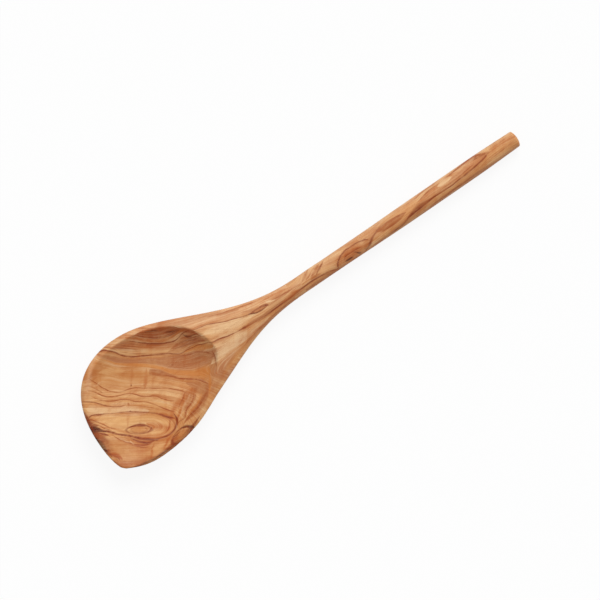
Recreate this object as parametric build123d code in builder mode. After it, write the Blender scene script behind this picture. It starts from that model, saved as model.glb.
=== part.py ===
from build123d import *
from math import atan2, degrees
import os

os.makedirs("parts", exist_ok=True)

# A wooden spoon with a pointed head, carved from one blank. All lengths are in millimetres.
# It is drawn with the handle's axis along X, the front of the head at zero and the hollow facing up,
# and is laid on its belly and its handle end once it is finished.

# Driving sizes along the handle
head_length = 150.0  # front of the head to the narrow part of the neck
shank_length = 95.0  # narrow neck to the even part of the grip
grip_length = 40.0  # even part of the grip
taper_length = 33.7  # grip to the rim of the handle end
end_dome_height = 1.3

# Driving sizes across
head_width = 76.6
neck_diameter = 11.74
waist_diameter = 11.25  # thinnest part of the handle, just past the neck
grip_diameter = 12.1
end_diameter = 10.75
neck_offset = 0.57  # the neck stands this far to the left of the handle's axis
end_edge_radius = 0.7

# Driving heights
edge_rise = 2.0  # widest line of the head above the handle's axis
crown_height = 5.6  # top of the uncut head above its widest line
belly_depth = 12.6  # underside of the head below its widest line
rim_height = 4.6  # rim of the hollow above the handle's axis
hollow_depth = 9.3  # rim of the hollow to its deepest point
hollow_overrun = 1.0  # the cutting solid stands this far above the crown

# Fullness of a quarter section: half the root of two is a true ellipse, and less is slimmer at the edge
round_share = 0.5**0.5
lip_share = 0.42

# Ribs of the head, from the pointed corner back to the widest place. Each row has the left end's station
# and reach, the right end's station and reach, then edge rise, crown and belly.
# Stations are shares of head_length, reaches of half head_width, heights of their driving sizes.
head_rib_shares = (
    (0.020, -0.762, 0.037, 0.833, 1.30, 0.26, 0.10),
    (0.003, -0.462, 0.098, 0.940, 1.20, 0.72, 0.33),
    (0.009, 0.105, 0.186, 0.999, 1.10, 0.92, 0.66),
    (0.072, 0.657, 0.287, 0.974, 1.04, 1.00, 0.91),
    (0.219, 0.973, 0.396, 0.879, 1.00, 1.00, 1.00),
)

# Ribs of the shoulder, from the head back to the neck. Stations are again shares of head_length.
# Reaches and heights are shares of the way from the neck's size (0) to the head's size (1).
# The last value is the share of the way from the round neck (0) to the thin-lipped belly (1).
shoulder_rib_shares = (
    (0.399, 0.928, 0.514, 0.636, 0.90, 0.90, 0.91, 1.00),
    (0.588, 0.583, 0.642, 0.400, 0.62, 0.40, 0.60, 0.75),
    (0.781, 0.208, 0.795, 0.147, 0.27, 0.02, 0.24, 0.32),
)

# Rings of the neck: station along the shank, the share of the neck's offset that is left, then the share
# of the way from the waist's diameter (0) to the neck's (1).
neck_ring_shares = (
    (0.00, 1.00, 1.00),
    (0.13, 0.90, 0.25),
)

# Rings of the shank, from the waist to the grip: station along the shank, then the share of the neck's
# offset that is left, then the share of the way from the waist's diameter (0) to the grip's (1).
shank_ring_shares = (
    (0.26, 0.74, 0.00),
    (0.44, 0.50, 0.08),
    (0.62, 0.22, 0.38),
    (0.81, 0.05, 0.80),
    (1.00, 0.00, 1.00),
)

# Deepest point of the hollow: station as a share of head_length, then reach as a share of half head_width.
hollow_centre_shares = (0.41, 0.0)
# Rim of the hollow, once round from the handle side by the left: station and reach, in the same shares.
hollow_rim_shares = (
    (0.606, 0.00),
    (0.590, 0.26),
    (0.532, 0.60),
    (0.440, 0.81),
    (0.350, 0.90),
    (0.240, 0.905),
    (0.125, 0.74),
    (0.050, 0.45),
    (0.010, 0.05),
    (0.004, -0.40),
    (0.024, -0.78),
    (0.075, -0.92),
    (0.165, -0.97),
    (0.265, -0.96),
    (0.365, -0.80),
    (0.495, -0.55),
    (0.575, -0.30),
)
# Contours of the hollow, as shares of the way from its deepest point to its rim
hollow_contour_shares = (1.0, 0.9, 0.77, 0.6, 0.4, 0.2, 0.06)
hollow_power = 3.0  # the walls steepen towards the rim with this power of that share

grip_start = head_length + shank_length
grip_end = grip_start + grip_length
end_station = grip_end + taper_length
half_head = head_width / 2
neck_radius = neck_diameter / 2
grip_radius = grip_diameter / 2
end_radius = end_diameter / 2
end_dome_radius = (end_radius**2 + end_dome_height**2) / (2 * end_dome_height)


def between(neck_size, head_size, share):
    return neck_size + share * (head_size - neck_size)


def upright_plane(left, right):
    """The upright plane through two points of the outline: its x runs from right to left, its y is up."""
    across = left - right
    return Plane(origin=(left + right) / 2, x_dir=across, z_dir=across.cross(Vector(0, 0, 1)))


def rib(left, right, crown, belly, belly_share):
    """One closed section between two points of the outline, upright at both ends, in four quarters."""
    reach = (left - right).length / 2
    crown_weights = [1, round_share, 1]
    belly_weights = [1, belly_share, 1]
    with BuildSketch(upright_plane(left, right)) as section:
        with BuildLine():
            Bezier((reach, 0), (reach, crown), (0, crown), weights=crown_weights)
            Bezier((0, crown), (-reach, crown), (-reach, 0), weights=crown_weights)
            Bezier((-reach, 0), (-reach, -belly), (0, -belly), weights=belly_weights)
            Bezier((0, -belly), (reach, -belly), (reach, 0), weights=belly_weights)
        make_face()
    return section.sketch


def ring(station, offset, diameter):
    """One round section of the handle."""
    radius = diameter / 2
    left = Vector(station, offset + radius)
    right = Vector(station, offset - radius)
    return rib(left, right, radius, radius, round_share)


def hollow_height(share):
    return rim_height - hollow_depth * (1 - share**hollow_power)


# The hollow, as the solid that is carved out of the head
with BuildPart() as hollow:
    centre = Vector(hollow_centre_shares[0] * head_length, hollow_centre_shares[1] * half_head)
    rim = [Vector(station * head_length, reach * half_head) for station, reach in hollow_rim_shares]
    over_depth = edge_rise + crown_height + hollow_overrun - rim_height
    over_share = (1 + over_depth / hollow_depth) ** (1 / hollow_power)
    for share in (over_share,) + hollow_contour_shares:
        with BuildSketch(Plane.XY.offset(hollow_height(share))):
            with BuildLine():
                Spline([centre + (point - centre) * share for point in rim], periodic=True)
            make_face()
    loft()

# Sections of the head and the neck, from the pointed corner back, then of the shank
sections = []
for at_left, left_reach, at_right, right_reach, rise, crown, belly in head_rib_shares:
    left = Vector(at_left * head_length, left_reach * half_head, rise * edge_rise)
    right = Vector(at_right * head_length, -right_reach * half_head, rise * edge_rise)
    sections.append(rib(left, right, crown * crown_height, belly * belly_depth, lip_share))
for at_left, left_reach, at_right, right_reach, rise, crown, belly, lip in shoulder_rib_shares:
    left_end = between(neck_radius + neck_offset, half_head, left_reach)
    right_end = between(neck_radius - neck_offset, half_head, right_reach)
    left = Vector(at_left * head_length, left_end, rise * edge_rise)
    right = Vector(at_right * head_length, -right_end, rise * edge_rise)
    crown_here = between(neck_radius, crown_height, crown)
    belly_here = between(neck_radius, belly_depth, belly)
    sections.append(rib(left, right, crown_here, belly_here, between(round_share, lip_share, lip)))
for at_shank, offset, width in neck_ring_shares:
    ring_diameter = between(waist_diameter, neck_diameter, width)
    sections.append(ring(head_length + at_shank * shank_length, offset * neck_offset, ring_diameter))
shank_rings = []
for at_shank, offset, width in shank_ring_shares:
    ring_diameter = between(waist_diameter, grip_diameter, width)
    shank_rings.append(ring(head_length + at_shank * shank_length, offset * neck_offset, ring_diameter))

with BuildPart() as carving:
    loft(sections + shank_rings[:1])
    loft(shank_rings)

    # Grip, tapered end and shallow dome, turned about the handle's axis
    with BuildSketch(Plane.XY):
        with BuildLine():
            Polyline(
                (end_station + end_dome_height, 0),
                (grip_start, 0),
                (grip_start, grip_radius),
                (grip_end, grip_radius),
            )
            taper = Spline(
                (grip_end, grip_radius),
                (end_station, end_radius),
                tangents=((1, 0), (taper_length, end_radius - grip_radius)),
            )
            RadiusArc(taper @ 1, (end_station + end_dome_height, 0), end_dome_radius)
        make_face()
    revolve(axis=Axis.X)
    end_dome = carving.faces().sort_by(Axis.X)[-1]
    fillet(end_dome.edges().sort_by(SortBy.LENGTH)[-1], end_edge_radius)

    add(hollow.part, mode=Mode.SUBTRACT)

# Lay the spoon down: the belly and the handle end touch the table, and the origin is the middle of its base
belly_bottom = belly_depth - edge_rise
belly_station = hollow_centre_shares[0] * head_length
rest_slope = degrees(atan2(belly_bottom - end_radius, end_station - belly_station))
tilted = carving.part.rotate(Axis.Y, rest_slope)
base = tilted.bounding_box()
with BuildPart() as spoon:
    with Locations((-base.center().X, -base.center().Y, -base.min.Z)):
        add(tilted)
spoon.part.label = "spoon"
export_step(spoon.part, "parts/spoon.step")
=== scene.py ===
import bpy
import bmesh
import math
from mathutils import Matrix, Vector


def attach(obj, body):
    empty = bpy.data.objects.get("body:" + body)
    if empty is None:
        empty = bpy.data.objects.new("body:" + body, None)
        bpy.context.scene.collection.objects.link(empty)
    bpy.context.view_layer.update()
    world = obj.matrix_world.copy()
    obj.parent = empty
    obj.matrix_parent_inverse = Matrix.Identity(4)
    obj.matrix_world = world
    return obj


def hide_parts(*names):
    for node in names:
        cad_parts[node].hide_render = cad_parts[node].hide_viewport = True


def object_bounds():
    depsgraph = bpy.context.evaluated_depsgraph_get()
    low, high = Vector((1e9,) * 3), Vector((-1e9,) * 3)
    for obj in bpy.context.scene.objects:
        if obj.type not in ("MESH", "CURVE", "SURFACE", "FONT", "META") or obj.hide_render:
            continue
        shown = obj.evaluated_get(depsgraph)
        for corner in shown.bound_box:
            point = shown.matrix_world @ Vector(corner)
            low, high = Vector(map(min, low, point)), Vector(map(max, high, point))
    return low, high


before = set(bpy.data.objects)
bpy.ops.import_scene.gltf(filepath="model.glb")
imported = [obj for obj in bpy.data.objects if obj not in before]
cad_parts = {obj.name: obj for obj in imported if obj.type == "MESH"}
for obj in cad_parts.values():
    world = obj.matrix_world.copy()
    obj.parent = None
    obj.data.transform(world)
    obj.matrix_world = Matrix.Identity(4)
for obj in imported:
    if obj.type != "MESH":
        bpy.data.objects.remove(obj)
cadBox = [list(corner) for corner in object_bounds()]
mm = 0.001

# How the photo looks down on the spoon, in metres, degrees and pixels
photo = {
    "width": 600,
    "pixel": 0.61707 * mm,
    "bearing": -34.511,  # from the handle's axis to the picture's right
    "middle": (-7.47 * mm, -6.84 * mm),
    "level": 9 * mm,  # the height that is in true scale
    "lens": 300,
    "sensor": 36,
}


def spot(px, py):
    # the place on the spoon that a pixel of the photo shows
    turn = math.radians(photo["bearing"])
    right = (px - photo["width"] / 2) * photo["pixel"]
    up = (photo["width"] / 2 - py) * photo["pixel"]
    x = photo["middle"][0] + right * math.cos(turn) - up * math.sin(turn)
    y = photo["middle"][1] + right * math.sin(turn) + up * math.cos(turn)
    return Vector((x, y, 0))


def ink(red, green, blue):
    # a colour as a screen shows it, 0 to 255
    def linear(value):
        share = value / 255
        return share / 12.92 if share <= 0.04045 else ((share + 0.055) / 1.055) ** 2.4
    return (linear(red), linear(green), linear(blue), 1)


def put(name, data):
    # a new object in the scene
    thing = bpy.data.objects.new(name, data)
    bpy.context.scene.collection.objects.link(thing)
    return thing


# Camera

def makeCamera():
    lens = bpy.data.cameras.new("camera")
    lens.type = "PERSP"
    lens.lens = photo["lens"]
    lens.sensor_width = photo["sensor"]
    camera = put("camera", lens)
    away = photo["width"] * photo["pixel"] * photo["lens"] / photo["sensor"]
    camera.location = (photo["middle"][0], photo["middle"][1], photo["level"] + away)
    camera.rotation_euler = (0, 0, math.radians(photo["bearing"]))
    lens.clip_end = 4 * away
    bpy.context.scene.camera = camera


# Light: a wide soft sun from the picture's top, and an even white sky

light = {
    "sun": 2.08,  # strength
    "spread": 36,  # degrees
    "height": 46,  # degrees above the table
    "bearing": 42,  # degrees from the handle's axis
    "sky": 0.62,  # strength
}


def makeLight():
    lamp = bpy.data.lights.new("window", "SUN")
    lamp.energy = light["sun"]
    lamp.angle = math.radians(light["spread"])
    window = put("window", lamp)
    high = math.radians(light["height"])
    wide = math.radians(light["bearing"])
    towards = Vector((math.cos(high) * math.cos(wide), math.cos(high) * math.sin(wide), math.sin(high)))
    window.rotation_euler = towards.to_track_quat("Z", "Y").to_euler()
    world = bpy.data.worlds.new("sky")
    Shade.begin(world)
    ray = Shade.node("ShaderNodeLightPath", out="Is Camera Ray")
    sky = Shade.node("ShaderNodeBackground", {}, {"Strength": light["sky"]})
    plain = Shade.node("ShaderNodeBackground", {}, {"Color": (1, 1, 1, 1), "Strength": 1})
    both = Shade.node("ShaderNodeMixShader", {}, {0: ray, 1: sky, 2: plain})
    Shade.node("ShaderNodeOutputWorld", {}, {"Surface": both}, out=None)
    bpy.context.scene.world = world
    print("light made")


# Shader expressions: a Shade wraps a socket, and sums on it add their Math nodes

class Shade:
    tree = None

    def __init__(self, socket):
        self.socket = socket

    @classmethod
    def begin(cls, owner):
        owner.use_nodes = True
        cls.tree = owner.node_tree
        cls.tree.nodes.clear()

    @classmethod
    def node(cls, kind, settings=None, sockets=None, out=0):
        made = cls.tree.nodes.new(kind)
        for name, value in (settings or {}).items():
            if name == "stops":
                fillRamp(made.color_ramp, value)
            elif name == "points":
                fillCurve(made.mapping, value)
            else:
                setattr(made, name, value)
        for name, value in (sockets or {}).items():
            if isinstance(value, Shade):
                cls.tree.links.new(value.socket, made.inputs[name])
            else:
                made.inputs[name].default_value = value
        return made if out is None else cls(made.outputs[out])

    def sum(self, operation, *others):
        return Shade.node("ShaderNodeMath", {"operation": operation}, dict(enumerate((self,) + others)))

    def __add__(self, other):
        return self.sum("ADD", other)

    __radd__ = __add__

    def __mul__(self, other):
        return self.sum("MULTIPLY", other)

    __rmul__ = __mul__

    def __sub__(self, other):
        return self.sum("SUBTRACT", other)

    def __rsub__(self, other):
        return Shade.node("ShaderNodeMath", {"operation": "SUBTRACT"}, {0: other, 1: self})

    def __truediv__(self, other):
        return self.sum("DIVIDE", other)

    def __pow__(self, other):
        return self.sum("POWER", other)

    def __abs__(self):
        return self.sum("ABSOLUTE")

    def least(self, other):
        return self.sum("MINIMUM", other)

    def most(self, other):
        return self.sum("MAXIMUM", other)

    def within(self):
        return self.most(0).least(1)

    def ease(self, low, high, start=0, end=1):
        settings = {"interpolation_type": "SMOOTHSTEP", "clamp": False}
        sockets = {"Value": self, "From Min": low, "From Max": high, "To Min": start, "To Max": end}
        return Shade.node("ShaderNodeMapRange", settings, sockets)

    def peak(self, level, width):
        # 1 where the value is the level, and 0 further from it than the width
        return abs(self - level).ease(0, width, 1, 0)


def fillRamp(ramp, stops):
    ramp.interpolation = "EASE"
    while len(ramp.elements) < len(stops):
        ramp.elements.new(1)
    for element, (position, colour) in zip(ramp.elements, stops):
        element.position = position
        element.color = colour


def fillCurve(mapping, points):
    mapping.use_clip = False
    mapping.extend = "HORIZONTAL"
    curve = mapping.curves[0]
    while len(curve.points) < len(points):
        curve.points.new(0.5, 0.5)
    for point, place in zip(curve.points, points):
        point.location = place
    mapping.update()


groups = {}


def makeGroup(name, values, colours, results):
    # an empty node group, and the Shades of its inputs
    group = bpy.data.node_groups.new(name, "ShaderNodeTree")
    for socket in values:
        group.interface.new_socket(name=socket, in_out="INPUT", socket_type="NodeSocketFloat")
    for socket in colours:
        group.interface.new_socket(name=socket, in_out="INPUT", socket_type="NodeSocketColor")
    for socket, kind in results.items():
        group.interface.new_socket(name=socket, in_out="OUTPUT", socket_type=kind)
    groups[name] = group
    Shade.tree = group
    inlet = Shade.node("NodeGroupInput", out=None)
    return [Shade(inlet.outputs[socket]) for socket in values + colours]


def makeNoise():
    # a group keeps the joined vector next to its noise, which Cycles needs to fit a long material
    x, y, z, detail, roughness = makeGroup(
        "noise", ("X", "Y", "Z", "Detail", "Roughness"), (), {"Noise": "NodeSocketFloat"})
    place = Shade.node("ShaderNodeCombineXYZ", {}, {0: x, 1: y, 2: z})
    sockets = {"Vector": place, "Scale": 1, "Detail": detail, "Roughness": roughness}
    made = Shade.node("ShaderNodeTexNoise", {"noise_dimensions": "3D"}, sockets)
    Shade.node("NodeGroupOutput", {}, {"Noise": made}, out=None)


# The noises of the wood: how fine they are along it, across it or through its layers, and up, then their
# detail and their roughness
noises = {
    "slow": (16, 30, 42, 1, 0.5),
    "small": (130, 260, 260, 2, 0.5),
    "ripple": (18, 2.2, 40, 3, 0.6),
    "streaks": (26, 10, 90, 5, 0.68),
    "cloud": (70, 110, 110, 4, 0.65),
    "warmth": (32, 2.4, 40, 4, 0.62),
    "threads": (13, 5.5, 24, 1, 0.5),
    "worn": (150, 170, 170, 3, 0.6),
    "mottle": (90, 120, 120, 5, 0.7),
    "silk": (60, 26, 160, 3, 0.6),
    "cross": (0.16, 0.03, 30, 3, 0.5),  # its first two are for pixels
    "flecks": (260, 30, 700, 1, 0.5),
    "relief": (90, 1100, 1100, 2, 0.5),
}


def noise(name, x, y, z):
    along, across, up, detail, roughness = noises[name]
    sockets = {"X": x * along, "Y": y * across, "Z": z * up, "Detail": detail, "Roughness": roughness}
    return Shade.node("ShaderNodeGroup", {"node_tree": groups["noise"]}, sockets)


def mixed(share, first, second, blend="MIX"):
    settings = {"data_type": "RGBA", "blend_type": blend, "clamp_factor": True}
    return Shade.node("ShaderNodeMix", settings, {0: share, 6: first, 7: second}, out=2)


# Olive wood. Its growth layers run along the handle and turn level in the head, where they fold round a lobe.
# On them lie the lines, patches and knots of the figure. Places are pixels of the photo.

lobe = {
    "end": (150, 427),  # right end of the lobe's core
    "above": 14.5,  # pixels from the core to the lobe's dark outline
    "below": 11.5,
    "right": 27,
}

layers = {
    "first": 3.2,  # level of the lowest curve: the lobe's outline is level 1
    "margin": 10 * mm,  # how far the curves go on past the spoon's ends
    "reach": 50 * mm,  # how far they may lie from its axis
    "curves": (
        ((60, 376), (95, 384), (108, 391), (118, 391.5), (132, 388.3), (152, 388.8), (166, 389.2), (180, 388),
         (194, 384), (206, 378), (225, 367), (245, 350), (270, 327), (300, 301), (330, 282), (400, 240),
         (460, 195), (530, 148)),
        ((60, 352), (90, 354), (102, 358.4), (113, 362.9), (124.5, 364), (145, 364.6), (163, 368.8),
         (175, 372), (189, 372.6), (200, 370), (218, 359), (240, 345), (258, 330), (278, 313), (300, 296),
         (340, 272), (400, 234), (460, 190), (530, 144)),
        ((60, 345), (90, 351), (102, 354.5), (125, 359.5), (150, 359), (175, 357.5), (189, 354), (197, 351.7),
         (210, 350.5), (230, 342), (249, 335), (264, 323), (285, 305), (300, 292.5), (340, 268.5), (372, 251),
         (406, 228), (436, 203), (466, 182), (530, 140)),
        ((60, 340), (90, 349), (101, 350.8), (108.4, 350.5), (115.5, 352.3), (125.4, 355.7), (145, 355.7),
         (171.8, 353.8), (182, 352), (193.2, 347), (202, 343.8), (218, 338.9), (235, 331.6), (244.4, 326.6),
         (261.6, 316), (283.6, 300.4), (295, 292.5), (309.4, 281.6), (325.7, 272), (340, 268), (358, 257),
         (382, 240), (406, 220), (424.8, 203), (452.6, 184), (477, 164.5), (489, 151), (530, 128)),
        ((60, 335), (90, 344), (110, 342), (124.5, 341), (145, 343), (157.5, 343.5), (171.8, 341.5),
         (181, 335), (190, 330.5), (205, 325.3), (225, 320.6), (239.6, 316.5), (257, 309.5), (271, 300.7),
         (283.6, 290.6), (310, 271), (343, 250), (366, 238), (388, 219.5), (404, 210.5), (417, 201.3),
         (430, 188.4), (443, 179), (462, 164.4), (475, 156), (488, 148), (530, 121)),
        ((60, 320), (95, 330), (118, 334), (134, 335.5), (150, 337.6), (165, 336), (176, 331), (190, 326),
         (205, 320.5), (225, 314.5), (249, 305), (270, 295), (290, 286), (310, 268), (340, 245), (370, 226),
         (400, 202), (430, 181), (470, 155), (530, 118)),
        ((60, 300), (95, 305), (134, 310), (165, 310), (205, 305), (249, 288), (270, 275), (300, 253),
         (340, 228), (370, 208), (400, 188), (430, 168), (470, 142), (530, 105)),
    ),
}

# Colours of the layers: level, then colour as a screen shows it
bands = (
    (0, 228, 178, 120),
    (0.8, 222, 168, 108),
    (1, 198, 134, 78),
    (1.5, 222, 168, 110),
    (2.6, 228, 178, 124),
    (3.1, 220, 162, 106),
    (3.35, 202, 138, 84),
    (4.1, 206, 141, 84),
    (4.5, 190, 127, 84),
    (5.1, 192, 129, 86),
    (5.6, 218, 160, 103),
    (6.1, 206, 145, 91),
    (6.6, 222, 170, 118),
    (7.2, 218, 168, 118),
    (7.6, 214, 160, 112),
    (8.2, 220, 170, 124),
    (9.2, 218, 166, 120),
)

inks = {
    "black": ink(76, 22, 11),
    "line": ink(130, 46, 20),
    "fine": ink(156, 70, 28),
    "umber": ink(146, 72, 34),
    "brown": ink(168, 93, 49),
    "plum": ink(178, 114, 72),
    "dusk": ink(176, 100, 56),
    "ember": ink(172, 88, 42),
    "amber": ink(186, 120, 66),
    "rust": ink(182, 99, 45),
    "glow": ink(224, 174, 132),
    "orange": ink(206, 130, 66),
    "honey": ink(196, 128, 70),
    "tan": ink(226, 174, 116),
    "pale": ink(238, 203, 157),
}

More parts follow.
